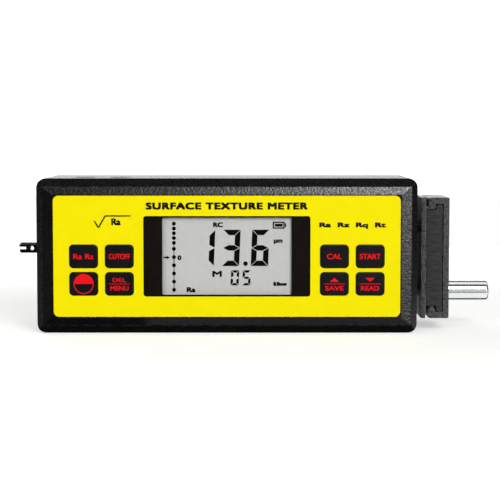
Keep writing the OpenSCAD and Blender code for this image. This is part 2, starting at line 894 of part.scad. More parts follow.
// Plain ring along X that seats in an upright
module ring_x(outer, inner, x0, x1, z) {
    difference() {
        bar_x(outer, x0, x1, drive_y, z);
        bar_x(inner, x0 - cut, x1 + cut, drive_y, z);
    }
}

module screw_bearing(x0) {
    color("#cfd1d3") ring_x(bearing_d, journal_d + 2 * run_fit, x0, x0 + upright_t, drive_z);
}

module screw_bearing_inner() {
    screw_bearing(x_inner);
}

module screw_bearing_outer() {
    screw_bearing(x_outer);
}

module rod_bush(x0, z) {
    color("#b08a45") ring_x(bush_d, rod_d + 2 * run_fit, x0, x0 + upright_t, z);
}

module bush_upper_inner() {
    rod_bush(x_inner, rod_z[1]);
}

module bush_upper_outer() {
    rod_bush(x_outer, rod_z[1]);
}

module bush_lower_inner() {
    rod_bush(x_inner, rod_z[0]);
}

module bush_lower_outer() {
    rod_bush(x_outer, rod_z[0]);
}

// Wiper ring in the right wall, with a flange inside the case
module rod_seal(z) {
    color("#262627") difference() {
        union() {
            bar_x(seal_d, x_in - root, case_l / 2, drive_y, z);
            bar_x(seal_d + 2 * seal_lip, x_in - chassis_gap / 2, x_in, drive_y, z);
        }
        bar_x(rod_d + 2 * seal_gap, x_in - chassis_gap, case_l / 2 + cut, drive_y, z);
    }
}

module rod_seal_upper() {
    rod_seal(rod_z[1]);
}

module rod_seal_lower() {
    rod_seal(rod_z[0]);
}

// Sensors on the chassis base, under the yoke at each end of its travel
module position_sensors() {
    color("#202022") for (x = [x_yoke, x_yoke + stroke]) {
        translate([x + (yoke_t - sensor_w) / 2, y_base - sensor_t, drive_z - sensor_w / 2]) {
            cube([sensor_w, sensor_t, sensor_w]);
        }
    }
}

// Yoke that joins the guide rods to the nut
module traverse_yoke() {
    color("#a9abae") difference() {
        along_x(x_yoke, x_yoke + yoke_t) {
            translate([drive_y, drive_z]) square([yoke_w, rod_pitch], center = true);
            for (z = rod_z) translate([drive_y, z]) circle(d = yoke_w);
        }
        bar_x(nut_d + 2 * seat_fit, x_yoke - cut, x_yoke + yoke_t + cut, drive_y, drive_z);
        for (z = rod_z) {
            bar_x(rod_d + 2 * seat_fit, x_yoke - cut, x_yoke + yoke_t + cut, drive_y, z);
        }
    }
}

module drive_nut() {
    color("#c79a3c") ring_x(nut_d, lead_d + 2 * run_fit, x_yoke, x_yoke + yoke_t, drive_z);
}

// Guide rod, tapped for the screw that clamps the rail to it
module guide_rod(z) {
    color("#c9cbcd") difference() {
        bar_x(rod_d, x_rod, x_plate, drive_y, z);
        bar_x(screw_d + 2 * seat_fit, x_head + head_t - rail_screw_l - screw_end_gap, x_plate + cut,
            drive_y, z);
    }
}

module guide_rod_upper() {
    guide_rod(rod_z[1]);
}

module guide_rod_lower() {
    guide_rod(rod_z[0]);
}

module carriage_plate() {
    color("#4a4a4c") difference() {
        along_x(x_plate, x_neck) {
            translate([y_bracket + rail_dep / 2, drive_z]) rounded(rail_dep, bracket_h, bracket_r);
        }
        for (z = rod_z) bar_x(screw_d + 2 * seat_fit, x_plate - cut, x_neck + cut, drive_y, z);
    }
}

// Countersunk screw along X with its head flush at x
module rail_screw_form(d, x, z) {
    head = 2 * d;
    translate([x - d / 2, drive_y, z]) rotate([0, 90, 0]) cylinder(d1 = d, d2 = head, h = d / 2);
    bar_x(d, x - rail_screw_l, x - d / 2, drive_y, z);
}

// T-shaped rail; its head is held behind the slide's hooks
module slide_rail() {
    color("#2e2e30") difference() {
        translate([0, y_bracket + rail_dep, drive_z]) rotate([90, 0, 0]) linear_extrude(rail_dep) {
            translate([x_neck, -neck_len / 2]) square([x_head - x_neck + bracket_r, neck_len]);
            translate([x_head + head_t / 2, 0]) rounded(head_t, head_len, bracket_r);
        }
        for (z = rod_z) rail_screw_form(screw_d + 2 * seat_fit, x_head + head_t, z);
    }
}

module rail_screws() {
    color("#8f9194") for (z = rod_z) rail_screw_form(screw_d, x_head + head_t - seat_fit, z);
}

// C-shaped slide: web, top and bottom walls, and round-nosed hooks behind the rail's head
module slide_section() {
    width = x_web - x_hook;
    translate([x_hook + width / 2, 0]) difference() {
        rounded(width, bracket_h, bracket_r);
        translate([-width / 2 + hook_t, -bracket_h / 2 + slide_wall]) {
            square([width - hook_t - web_t, bracket_h - 2 * slide_wall]);
        }
        translate([-width / 2 - cut, -bracket_h / 2 + hook_l - hook_t / 2]) {
            square([hook_t + 2 * cut, bracket_h - 2 * hook_l + hook_t]);
        }
    }
    for (side = [-1, 1]) {
        translate([x_hook + hook_t / 2, side * (bracket_h / 2 - hook_l + hook_t / 2)]) {
            circle(d = hook_t);
        }
    }
}

module height_slide() {
    color("#58585a") difference() {
        translate([0, y_bracket + slide_dep, drive_z]) rotate([90, 0, 0]) {
            linear_extrude(slide_dep) slide_section();
        }
        bar_x(tube_d + 2 * seat_fit, x_web_in - cut, x_web + cut, pickup_y, pickup_z);
        bar_x(flange_d + 2 * seat_fit, x_web_in - rail_gap, x_web_in + flange_t, pickup_y, pickup_z);
        for (z = lock_z) bar_x(lock_d + 2 * seat_fit, x_web_in - rail_gap, x_web + cut, pickup_y, z);
    }
}

// Headless screws with a six-sided socket; their tips stop just short of the rail
module slide_lock_screws() {
    tip_gap = 0.05;
    color("#2a2a2c") for (z = lock_z) difference() {
        bar_x(lock_d, x_web_in - rail_gap + tip_gap, x_web - tip_gap, pickup_y, z);
        translate([x_web - web_t / 2, pickup_y, z]) rotate([0, 90, 0]) {
            cylinder(d = lock_d / 2, h = web_t, $fn = 6);
        }
    }
}

// Tube with a flange that seats inside the slide's web, and a slot for the skid
module pickup_tube() {
    color("#d3d5d7") difference() {
        union() {
            bar_x(tube_d, x_web_in, x_nose - plug_l, pickup_y, pickup_z);
            bar_x(flange_d, x_web_in, x_web_in + flange_t, pickup_y, pickup_z);
        }
        bar_x(2 * bore_r, x_web_in + flange_t + root, x_nose, pickup_y, pickup_z);
        translate([x_skid - seat_fit, pickup_y, pickup_z - skid_w / 2 - seat_fit]) {
            cube([skid_l + 2 * seat_fit, tube_d, skid_w + 2 * seat_fit]);
        }
    }
}

// Turned plug with a rounded edge that closes the tube
module pickup_nose() {
    r = tube_d / 2;
    color("#d3d5d7") translate([x_nose - plug_l, pickup_y, pickup_z]) rotate([0, 90, 0]) {
        cylinder(r = r, h = plug_l - nose_r);
        rotate_extrude() {
            translate([0, plug_l - nose_r]) square([r - nose_r, nose_r]);
            intersection() {
                translate([r - nose_r, plug_l - nose_r]) circle(nose_r);
                translate([0, plug_l - nose_r]) square([r, nose_r]);
            }
        }
        translate([0, 0, -plug_in]) cylinder(r = bore_r - seat_fit, h = plug_in);
    }
}

// Hardened runner that rides on the work beside the stylus
module pickup_skid() {
    color("#9a9c9f") translate([0, pickup_y, pickup_z]) difference() {
        intersection() {
            translate([x_skid, bore_r, -skid_w / 2]) cube([skid_l, skid_y - bore_r + cut, skid_w]);
            translate([x_stylus, skid_y - skid_r, -skid_w]) {
                cylinder(r = skid_r, h = 2 * skid_w, $fn = 256);
            }
        }
        bar_y(skid_hole, 0, skid_y + cut, x_stylus, 0);
    }
}

// Two measuring coils, above and below the rear end of the stylus arm
module pickup_coils() {
    coil_t = 0.9;
    coil_w = 2.8;
    color("#b5622c") translate([x_coil, pickup_y, pickup_z]) for (side = [0, 1]) mirror([0, side, 0]) {
        translate([0, arm_t / 2 + coil_gap, -coil_w / 2]) cube([coil_l, coil_t, coil_w]);
    }
}

module stylus_pivot() {
    length = 2 * bore_r - 2 * run_fit;
    color("#c9cbcd") translate([x_pivot, pickup_y, pickup_z - length / 2]) {
        cylinder(d = pivot_d, h = length);
    }
}

// Lever on the pivot: armature behind, stylus shank in front
module stylus_arm() {
    color("#b9bbbd") translate([0, pickup_y, pickup_z]) difference() {
        union() {
            translate([x_coil, -arm_t / 2, -arm_w / 2]) {
                cube([x_stylus - x_coil + stylus_d / 2, arm_t, arm_w]);
            }
            translate([x_pivot, 0, -arm_w / 2]) cylinder(d = hub_d, h = arm_w);
            bar_y(stylus_d, 0, tip_y - stylus_d / 2, x_stylus, 0);
        }
        translate([x_pivot, 0, -arm_w]) cylinder(d = pivot_d + 2 * run_fit, h = 2 * arm_w);
    }
}

// Diamond cone of 90 degrees
module stylus_tip() {
    color("#5a5e66") translate([x_stylus, pickup_y + tip_y - stylus_d / 2, pickup_z]) {
        rotate([-90, 0, 0]) cylinder(d1 = stylus_d, d2 = 0, h = stylus_d / 2);
    }
}

front_shell();
rear_shell();
case_screws();
rubber_feet();
panel_overlay();
display_window();
window_mask();
lcd_glass();
lcd_backlight();
lcd_frame();
key_parameter();
key_cutoff();
key_power();
key_menu();
key_calibrate();
key_start();
key_up();
key_down();
key_switches();
main_board();
board_screws();
board_chips();
charge_socket();
data_socket();
battery_pack();
strap_post();
strap_nut();
drive_chassis();
chassis_screws();
drive_motor();
motor_gearbox();
motor_shaft();
shaft_coupling();
lead_screw();
screw_bearing_inner();
screw_bearing_outer();
bush_upper_inner();
bush_upper_outer();
bush_lower_inner();
bush_lower_outer();
rod_seal_upper();
rod_seal_lower();
position_sensors();
traverse_yoke();
drive_nut();
guide_rod_upper();
guide_rod_lower();
carriage_plate();
slide_rail();
rail_screws();
height_slide();
slide_lock_screws();
pickup_tube();
pickup_nose();
pickup_skid();
pickup_coils();
stylus_pivot();
stylus_arm();
stylus_tip();
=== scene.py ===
import math

import bmesh
import bpy
from mathutils import Matrix, Vector


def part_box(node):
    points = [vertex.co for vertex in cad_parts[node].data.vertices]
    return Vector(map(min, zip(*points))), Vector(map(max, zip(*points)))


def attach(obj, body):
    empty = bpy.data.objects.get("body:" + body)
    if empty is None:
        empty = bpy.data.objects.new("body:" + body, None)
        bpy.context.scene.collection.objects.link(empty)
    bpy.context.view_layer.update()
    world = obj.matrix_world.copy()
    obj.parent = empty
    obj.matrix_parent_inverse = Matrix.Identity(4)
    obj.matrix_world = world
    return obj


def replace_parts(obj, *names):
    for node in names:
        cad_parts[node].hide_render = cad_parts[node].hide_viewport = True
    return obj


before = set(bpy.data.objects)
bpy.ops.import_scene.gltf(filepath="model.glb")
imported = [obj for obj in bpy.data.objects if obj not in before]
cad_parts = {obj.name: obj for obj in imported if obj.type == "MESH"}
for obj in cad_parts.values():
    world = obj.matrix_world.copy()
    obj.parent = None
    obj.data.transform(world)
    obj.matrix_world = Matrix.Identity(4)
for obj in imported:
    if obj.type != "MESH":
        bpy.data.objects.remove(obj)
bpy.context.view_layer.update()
mm = 0.001


# Case shells: two injection-moulded halves of black ABS that meet on a tongue-and-groove seam.
# The mould was spark-eroded, which leaves a fine even grain, and its edges are softly broken.
def linear(hex_colour):
    """sRGB hex to linear RGBA."""
    channels = [int(hex_colour[i:i + 2], 16) / 255 for i in (1, 3, 5)]
    return [c / 12.92 if c <= 0.04045 else ((c + 0.055) / 1.055) ** 2.4 for c in channels] + [1.0]


def add(tree, kind, inputs={}, **settings):
    """Adds a node with its settings; an input is a value, or a socket to link from."""
    node = tree.nodes.new(kind)
    for name, value in settings.items():
        setattr(node, name, value)
    for name, value in inputs.items():
        if isinstance(value, bpy.types.NodeSocket):
            tree.links.new(value, node.inputs[name])
        else:
            node.inputs[name].default_value = value
    return node


def finish(name, inputs):
    """A new material with one shader; returns the material, its tree and the shader."""
    made = bpy.data.materials.new(name)
    made.use_nodes = True
    tree = made.node_tree
    tree.nodes.clear()
    shader = add(tree, "ShaderNodeBsdfPrincipled", inputs)
    add(tree, "ShaderNodeOutputMaterial", {"Surface": shader.outputs[0]})
    return made, tree, shader


def surface(tree, shader, tones, size, depth, rough, patch, detail, drawn_out):
    """A grain of one size in metres, which dents the surface and varies its roughness, and slow
    patches between two tones. Real grain is 0.02 to 0.2 mm, finer than a pixel of the picture
    (about 0.4 mm), so the sizes given are three to ten times coarser than real: then it shows.
    Lines left by a tool are the same grain, drawn out along X."""
    grain_from, grain_to, tone_stops = 0.3, 0.7, (0.36, 0.66)
    place = add(tree, "ShaderNodeTexCoord").outputs["Object"]
    if drawn_out > 1:
        place = add(tree, "ShaderNodeMapping",
                    {"Vector": place, "Scale": (1 / drawn_out, 1, 1)}).outputs[0]
    fine, slow = [add(tree, "ShaderNodeTexNoise",
                      {"Vector": place, "Scale": 1 / s, "Detail": detail}) for s in (size, patch)]
    spread = add(tree, "ShaderNodeMapRange",
                 {"Value": fine.outputs["Fac"], "From Min": grain_from, "From Max": grain_to,
                  "To Min": rough[0], "To Max": rough[1]})
    dent = add(tree, "ShaderNodeBump",
               {"Height": fine.outputs["Fac"], "Strength": 1.0, "Distance": depth})
    tone = add(tree, "ShaderNodeValToRGB", {"Fac": slow.outputs["Fac"]})
    for stop, at, colour in zip(tone.color_ramp.elements, tone_stops, tones):
        stop.position, stop.color = at, linear(colour)
    tree.links.new(tone.outputs["Color"], shader.inputs["Base Color"])
    tree.links.new(spread.outputs["Result"], shader.inputs["Roughness"])
    tree.links.new(dent.outputs["Normal"], shader.inputs["Normal"])


def rubbed_and_highlit_edges(tree, shader, bare_and_highlight):
    """Rounded edges get a lighter tone in patches: partly rubbed, partly a painted highlight."""
    patch_length, edge_patch_from, edge_patch_to = 2.5 * mm, 0.42, 0.62
    tone = shader.inputs["Base Color"].links[0].from_socket
    place = add(tree, "ShaderNodeTexCoord").outputs["Object"]
    patches = add(tree, "ShaderNodeTexNoise", {"Vector": place, "Scale": 1 / patch_length})
    amount = add(tree, "ShaderNodeMapRange",
                 {"Value": patches.outputs["Fac"], "From Min": edge_patch_from, "From Max": edge_patch_to})
    edge = add(tree, "ShaderNodeAttribute", attribute_name="rounded_edge")
    where = add(tree, "ShaderNodeMath", {0: edge.outputs["Fac"], 1: amount.outputs["Result"]},
                operation="MULTIPLY")
    mixed = add(tree, "ShaderNodeMix", {"Factor": where.outputs[0], 6: tone, 7: linear(bare_and_highlight)},
                data_type="RGBA")
    tree.links.new(mixed.outputs[2], shader.inputs["Base Color"])


def grained(name, tones, size, depth, rough, shading={}, bare_and_highlight=None, patch=6 * mm, detail=2.0,
            drawn_out=1.0):
    """A grained material; an edge tone gives it rubbed edges with a painted highlight."""
    made, tree, shader = finish(name, shading)
    surface(tree, shader, tones, size, depth, rough, patch, detail, drawn_out)
    if bare_and_highlight:
        rubbed_and_highlit_edges(tree, shader, bare_and_highlight)
    return made


def dress(made, *nodes):
    """Gives CAD nodes a material."""
    for name in nodes:
        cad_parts[name].data.materials.clear()
        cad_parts[name].data.materials.append(made)


def link_piece(name, mesh, made, body):
    """Puts a mesh into the scene as a piece that rides on a body."""
    mesh.materials.clear()
    mesh.materials.append(made)
    piece = bpy.data.objects.new(name, mesh)
    bpy.context.scene.collection.objects.link(piece)
    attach(piece, body)
    return piece


def soften(name, node, made, body, width, chosen, steps=2, sharp=14, crease=32):
    """A copy of a CAD node with its chosen edges rounded, which takes the node's place. Edges are
    rounded where they turn by more than the sharp angle, and shaded as edges beyond the crease
    angle, both in degrees."""
    weld, same_plane = 1e-6, math.radians(0.2)
    form = bmesh.new()
    form.from_mesh(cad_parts[node].data)
    bmesh.ops.remove_doubles(form, verts=form.verts, dist=weld)
    bmesh.ops.dissolve_limit(form, angle_limit=same_plane, verts=form.verts, edges=form.edges)
    edge_mark = form.faces.layers.float.new("rounded_edge")
    hard = [edge for edge in form.edges
            if len(edge.link_faces) == 2
            and edge.calc_face_angle() > math.radians(sharp)
            and chosen((edge.verts[0].co + edge.verts[1].co) / 2,
                       (edge.verts[1].co - edge.verts[0].co).normalized())]
    rounded = bmesh.ops.bevel(form, geom=hard, offset=width, offset_type="OFFSET", segments=steps,
                              profile=0.5, affect="EDGES", clamp_overlap=False)
    for face in rounded["faces"]:
        face[edge_mark] = 1.0
    mesh = bpy.data.meshes.new(name)
    form.to_mesh(mesh)
    form.free()
    mesh.set_sharp_from_angle(angle=math.radians(crease))
    for face in mesh.polygons:
        face.use_smooth = len(face.vertices) <= 4
    piece = link_piece(name, mesh, made, body)
    piece.modifiers.new("even_shading", "WEIGHTED_NORMAL").keep_sharp = True
    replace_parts(piece, node)
    return piece


# Black ABS: near-black with a dull sheen; the grain breaks highlights into sparkling grey.
# Its rounded edges are painted lighter grey in patches: partly rubbed, partly a painted highlight.
abs_black = grained("black_abs_spark_eroded", ("#080809", "#0d0d0e"), size=0.75 * mm,
                    depth=0.09 * mm, rough=(0.2, 0.36), bare_and_highlight="#262628",
                    shading={"IOR": 1.5, "Specular IOR Level": 0.26})

front_low, front_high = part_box("front_shell")
rear_low, rear_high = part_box("rear_shell")
y_part = rear_low.y
corner_r, seam_w = 3.6 * mm, 0.25 * mm
skin, seam_near, back_near = 0.1 * mm, 0.02 * mm, 0.05 * mm
rim_deep, bezel_deep, straight = 0.6 * mm, 4 * mm, 0.999


def at_outside(p, depth):
    """Whether a place lies within a depth of the case's outer walls and their round corners."""
    half_z = front_high.z / 2
    to_side, to_top = front_high.x - abs(p.x), half_z - abs(p.z - half_z)
    in_corner = max(to_side, to_top) < corner_r
    return min(to_side, to_top) < depth or (
        in_corner and math.hypot(corner_r - to_side, corner_r - to_top) > corner_r - depth)


def at_seam(p):
    """Whether a place lies on the outer edge of the seam between the shells."""
    return at_outside(p, skin) and abs(p.y - y_part) < seam_near


def on_bezel(p, way):
    """Whether an edge runs straight round the bezel's slope, behind its front rim."""
    return (front_low.y + rim_deep < p.y < front_low.y + bezel_deep
            and max(abs(way.x), abs(way.z)) > straight and at_outside(p, bezel_deep))


soften("case_front", "front_shell", abs_black, "case", seam_w,
       lambda p, way: at_seam(p) or on_bezel(p, way), steps=3, crease=12)
soften("case_rear", "rear_shell", abs_black, "case", seam_w,
       lambda p, way: p.y > rear_high.y - back_near or at_seam(p))


# Screws: cross-recessed steel screws, cold-headed, rolled and zinc-plated. Four sit deep in the
# back and hold the shells together; the others hold the board, the chassis and the rail. The nut
# of the strap post is plated alike.
# Zinc plating: pale bluish grey with a soft, slightly cloudy shine.
zinc_steel = grained("zinc_plated_steel", ("#b0b3b8", "#c0c3c6"), size=0.8 * mm, depth=0.004 * mm,
                     rough=(0.25, 0.4), shading={"Metallic": 1.0})
dress(zinc_steel, "case_screws", "board_screws", "chassis_screws", "rail_screws", "strap_nut")


# Feet and rod seals: pads and lipped rings moulded from nitrile rubber. The pads are pressed into
# seats in the back, and the rings seal the guide rods where they leave the case.
# Nitrile rubber: matt dark grey with a faint bloom that scatters light at its edges.
rubber = grained("nitrile_rubber", ("#1f1f20", "#282829"), size=0.6 * mm, depth=0.02 * mm,
                 rough=(0.7, 0.9), shading={"Sheen Weight": 0.15, "Sheen Roughness": 0.5})
dress(rubber, "rubber_feet", "rod_seal_upper", "rod_seal_lower")


# Panel overlay: a yellow polyester film, printed, die-cut round the window and the eight keys, and
# glued into the bezel's recess.
# Satin polyester: the yellow stays bright and even, and shows no hard reflection.
film_yellow = grained("yellow_polyester_film", ("#f9ea00", "#fbec00"), size=0.35 * mm,
                      depth=0.006 * mm, rough=(0.35, 0.45),
                      shading={"IOR": 1.5, "Specular IOR Level": 0.06})
dress(film_yellow, "panel_overlay")


# Prints on the overlay: black screen ink, pulled onto the film. The wording is generic: what the
# instrument is, the values it gives, and the drawing-office sign for surface texture.
def lettering(words, x, y, z, height, width=None, weight=0.0, spacing=1.0):
    """Letters as a thin solid, centred on a place and facing the front. A weight strikes them
    again a little to each side, which thickens their strokes."""
    strikes = ((-1, -0.7), (-1, 0.7), (0, 0), (1, -0.7), (1, 0.7))
    curve = bpy.data.curves.new("letters", "FONT")
    curve.body, curve.space_character = words, spacing
    curve.resolution_u = 4
    curve.fill_mode = "BOTH"
    curve.extrude = 0.01
    holder = bpy.data.objects.new("letters", curve)
    bpy.context.scene.collection.objects.link(holder)
    depsgraph = bpy.context.evaluated_depsgraph_get()
    mesh = bpy.data.meshes.new_from_object(holder.evaluated_get(depsgraph))
    bpy.data.objects.remove(holder)
    low = Vector([min(v.co[i] for v in mesh.vertices) for i in range(3)])
    high = Vector([max(v.co[i] for v in mesh.vertices) for i in range(3)])
    rise = height / (high.y - low.y)
    run = width / (high.x - low.x) if width else rise
    for v in mesh.vertices:
        u, w = v.co - (low + high) / 2, v.co.z / curve.extrude
        v.co = (x + u.x * run, y - w * print_t, z + u.y * rise)
    if not weight:
        return mesh
    form = bmesh.new()
    for i, (across, up) in enumerate(strikes):
        shift = Vector((across * weight, -i * print_t / len(strikes), up * weight))
        mesh.transform(Matrix.Translation(shift))
        form.from_mesh(mesh)
        mesh.transform(Matrix.Translation(-shift))
    form.to_mesh(mesh)
    form.free()
    return mesh


def flat(outline, y):
    """Thin solid over an outline in X and Z that runs anticlockwise as seen from the front."""
    form = bmesh.new()
    rings = [[form.verts.new((px, depth, pz)) for px, pz in outline]
             for depth in (y - print_t, y + print_t)]
    form.faces.new(rings[0])
    form.faces.new(rings[1][::-1])
    for i, (a, b) in enumerate(zip(rings[0], rings[1])):
        c, d = rings[1][i - 1], rings[0][i - 1]
        form.faces.new((a, d, c, b))
    bmesh.ops.recalc_face_normals(form, faces=form.faces)
    mesh = bpy.data.meshes.new("flat")
    form.to_mesh(mesh)
    form.free()
    return mesh


def box_outline(x, z, width, height):
    """Corners of an upright rectangle about its centre."""
    return [(x + sx * width / 2, z + sz * height / 2)
            for sx, sz in ((-1, -1), (1, -1), (1, 1), (-1, 1))]


def arc(x, z, radius, start, end, steps=24):
    """Points along an arc, from one angle to another in degrees."""
    angles = [math.radians(start + (end - start) * i / steps) for i in range(steps + 1)]
    return [(x + radius * math.cos(a), z + radius * math.sin(a)) for a in angles]


def printed(name, shapes, made, body):
    """Joins thin solids into one printed piece."""
    form = bmesh.new()
    for mesh in shapes:
        form.from_mesh(mesh)
        bpy.data.meshes.remove(mesh)
    joined = bpy.data.meshes.new(name)
    form.to_mesh(joined)
    form.free()
    return link_piece(name, joined, made, body)


print_t = 0.012 * mm
panel_low, panel_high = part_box("panel_overlay")
window_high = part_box("display_window")[1]
y_film = panel_low.y
z_mid = (panel_low.z + panel_high.z) / 2

# Screen ink: flat black with a slight satin sheen, a little uneven where it was pulled.
ink_black = grained("black_screen_ink", ("#0a0907", "#0e0d0a"), size=0.3 * mm, depth=0.004 * mm,
                    rough=(0.45, 0.6), shading={"Specular IOR Level": 0.1})
title_z = (panel_high.z + window_high.z) / 2
foot_x, sign_z, sign_h, stroke = -46.8 * mm, 39.0 * mm, 4.6 * mm, 0.5 * mm
leg_h = 0.55 * sign_h
arm_run, leg_run = sign_h / math.tan(math.radians(60)), 0.577 * leg_h
bar_x, bar_w = foot_x + arm_run + 4.2 * mm, 9.4 * mm
symbol_x, symbol_z = foot_x + arm_run + 3.6 * mm, sign_z + 2.2 * mm


def leaning(run, rise):
    """A leaning stroke of the texture sign, from its foot to a place above it."""
    left, right = foot_x - stroke, foot_x + 0.2 * stroke
    return flat([(left, sign_z), (right, sign_z), (right + run, sign_z + rise),
                 (left + run, sign_z + rise)], y_film)


printed("panel_print", [
    leaning(-leg_run, leg_h), leaning(arm_run, sign_h),
    flat(box_outline(bar_x, sign_z + sign_h - stroke / 2, bar_w, stroke), y_film),
    lettering("Ra", symbol_x, y_film, symbol_z, height=2.3 * mm, weight=0.17 * mm),
    lettering("SURFACE TEXTURE METER", 0, y_film, title_z, height=2.3 * mm, width=58.8 * mm,
              weight=0.26 * mm, spacing=1.12),
    lettering("Ra  Rz  Rq  Rt", 46 * mm, y_film, 39.8 * mm, height=2.05 * mm, width=24 * mm,
              weight=0.21 * mm)],
    ink_black, "case")


# Display window: a clear acrylic pane let into the overlay, with a black mask printed round its
# back. Behind the mask's opening lies the display.
# Hard-coated acrylic: hardly seen at all, but for a faint dark gloss over what lies behind it.
acrylic = grained("clear_acrylic_hard_coated", ("#050505", "#070707"), size=0.5 * mm,
                  depth=0.001 * mm, rough=(0.12, 0.2), shading={"IOR": 1.49, "Alpha": 0.07})
dress(acrylic, "display_window")

# Mask ink: dense warm black under the pane.
mask_black = grained("warm_black_mask_ink", ("#130d0b", "#17110f"), size=0.6 * mm, depth=0.003 * mm,
                     rough=(0.55, 0.7), shading={"Specular IOR Level": 0.06})
dress(mask_black, "window_mask")


# Display: a reflective liquid-crystal cell in a moulded frame, over a light guide. Its face is an
# even pale grey, and the driven segments turn black. A reading of 13.6 is shown.
y_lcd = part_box("lcd_glass")[0].y

# Polariser: even, matt, slightly cool grey with a barely seen mottle.
polariser = grained("lcd_polariser", ("#e0e0e0", "#e5e5e5"), size=1.2 * mm, depth=0.001 * mm,
                    rough=(0.4, 0.5), patch=1.2 * mm, shading={"Specular IOR Level": 0.25})
dress(polariser, "lcd_glass")

# Light guide and frame: milky white plastic.
milky = grained("milky_polycarbonate", ("#e6e6e1", "#ececea"), size=0.8 * mm, depth=0.005 * mm,
                rough=(0.35, 0.5), shading={"Subsurface Weight": 0.2, "Subsurface Scale": 0.5 * mm})
dress(milky, "lcd_backlight", "lcd_frame")

# Driven liquid crystal: soft black, seen inside the cell.
crystal = grained("driven_liquid_crystal", ("#040405", "#070708"), size=0.4 * mm, depth=0.001 * mm,
                  rough=(0.45, 0.55), shading={"Specular IOR Level": 0.06})

SEGMENTS = {"0": "abcdef", "1": "bc", "3": "abcdg", "5": "acdfg", "6": "acdefg"}


def seven_segment(digit, left, bottom, width, height, bar, slit, slant):
    """The lit segments of one digit, with mitred ends and a slit between neighbours."""
    mid = height / 2
    shapes = {
        "a": [(slit, height), (bar + slit, height - bar), (width - bar - slit, height - bar),
              (width - slit, height)],
        "d": [(slit, 0), (width - slit, 0), (width - bar - slit, bar), (bar + slit, bar)],
        "e": [(0, slit), (bar, bar + slit), (bar, mid - bar / 2 - slit), (0, mid - slit)],
        "f": [(0, mid + slit), (bar, mid + bar / 2 + slit), (bar, height - bar - slit),
              (0, height - slit)],
        "g": [(2 * slit, mid), (2 * slit + bar, mid - bar / 2),
              (width - 2 * slit - bar, mid - bar / 2), (width - 2 * slit, mid),
              (width - 2 * slit - bar, mid + bar / 2), (2 * slit + bar, mid + bar / 2)]}
    for near, far in (("e", "c"), ("f", "b")):
        shapes[far] = [(width - x, z) for x, z in shapes[near]][::-1]
    return [flat([(left + x + slant * (z - mid), bottom + z) for x, z in shapes[s]], y_lcd)
            for s in SEGMENTS[digit]]


def upright_box(x, z, width, height):
    """A rectangular segment about its centre."""
    return flat(box_outline(x, z, width, height), y_lcd)


# Digits, by the place of their left side in mm, and the round point between two of them
big = dict(bottom=z_mid - 3.75 * mm, width=6.4 * mm, height=13.4 * mm, bar=2.0 * mm,
           slit=0.12 * mm, slant=0.045)
small = dict(bottom=z_mid - 10.9 * mm, width=3.0 * mm, height=5.6 * mm, bar=0.9 * mm,
             slit=0.13 * mm, slant=0.06)
point_x, point_z, point_r = 6.8 * mm, z_mid - 2.85 * mm, 0.85 * mm
reading = [mesh for digit, left in (("1", -10.95), ("3", -1.65), ("6", 9.0))
           for mesh in seven_segment(digit, left * mm, **big)]
reading += [mesh for digit, left in (("0", 1.4), ("5", 5.7))
            for mesh in seven_segment(digit, left * mm, **small)]
reading.append(flat(arc(point_x, point_z, point_r, 0, 345, steps=23), y_lcd))

# Words, each with its centre, height and width in mm
for words, x, z, height, width in (
        ("RC", -3.3, 11.45, 1.6, 3.3), ("M", -3.65, -6.65, 2.0, 3.2),
        ("µm", 18.8, 5.2, 1.5, 3.0), ("Ra", -13.2, -12.5, 1.65, 3.0),
        ("0.8mm", 19.5, -10.35, 1.3, 4.6), ("0", -17.5, -0.7, 1.6, 1.1)):
    reading.append(lettering(words, x * mm, y_lcd, z_mid + z * mm, height * mm, width * mm,
                             weight=0.17 * mm))

# Battery sign with its knob and charge
cell_x, cell_z, cell_w, cell_h = 19.0 * mm, z_mid + 11.3 * mm, 4.4 * mm, 2.6 * mm
rule, knob_x, knob_w = 0.5 * mm, cell_x + cell_w / 2 + 0.35 * mm, 0.5 * mm
reading += [upright_box(cell_x, cell_z + side * (cell_h - rule) / 2, cell_w, rule)
            for side in (-1, 1)]
reading += [upright_box(cell_x + side * (cell_w - rule) / 2, cell_z, rule, cell_h)
            for side in (-1, 1)]
reading.append(upright_box(knob_x, cell_z, knob_w, cell_h * 0.55))
reading.append(upright_box(cell_x, cell_z, cell_w - 3 * rule, cell_h - 3 * rule))

# Pointer of the level scale, and the upright line through its lower dots
scale_x, pointer_z = -19.5 * mm, z_mid - 0.6 * mm
head_x, tip_x, head_h = scale_x - 2.6 * mm, scale_x - 1.55 * mm, 0.75 * mm
reading.append(upright_box(scale_x - 3.2 * mm, pointer_z, width=1.6 * mm, height=0.55 * mm))
reading.append(flat([(head_x, pointer_z - head_h), (tip_x, pointer_z),
                     (head_x, pointer_z + head_h)], y_lcd))
reading.append(upright_box(scale_x, z_mid - 3.9 * mm, width=0.3 * mm, height=17.4 * mm))
printed("display_reading", reading, crystal, "case")


# Level scale: two runs of round dots on the display, close together above and wider apart below.
# They are electrodes of one shape, so they are laid out along a line at two spacings.
def modelled(name, tree, values, made, body):
    """Runs a node tree with its named inputs set, and keeps the result as one plain piece."""
    holder = bpy.data.objects.new(name, bpy.data.meshes.new(name))
    bpy.context.scene.collection.objects.link(holder)
    run = holder.modifiers.new("layout", "NODES")
    run.node_group = tree
    for item in tree.interface.items_tree:
        if item.in_out == "INPUT" and item.name in values:
            run[item.identifier] = values[item.name]
    depsgraph = bpy.context.evaluated_depsgraph_get()
    mesh = bpy.data.meshes.new_from_object(holder.evaluated_get(depsgraph))
    bpy.data.objects.remove(holder)
    mesh.name = name
    return link_piece(name, mesh, made, body)


